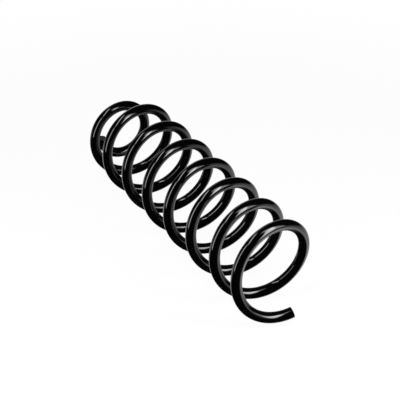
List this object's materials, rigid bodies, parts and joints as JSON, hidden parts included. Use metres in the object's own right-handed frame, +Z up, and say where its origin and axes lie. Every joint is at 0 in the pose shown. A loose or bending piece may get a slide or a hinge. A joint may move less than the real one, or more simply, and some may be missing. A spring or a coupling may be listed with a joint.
{
  "type": "helical suspension spring",
  "caption": "Open-coil compression spring of round steel wire in gloss black paint, with one open end and one wound-in pigtail end, both cut off square.",
  "frame": {"origin": "under the middle of the spring's box, on the surface that it lies on", "axes": "+Z up; +Y along the level coil axis, from the open end to the pigtail end; +X to the right as seen from the open end"},
  "size_m": [0.1086, 0.3766, 0.1101],
  "materials": {
    "black_paint": "gloss black powder coat over spring steel"
  },
  "bodies": {
    "root": {"coil": "black_paint"}
  },
  "joints": []
}
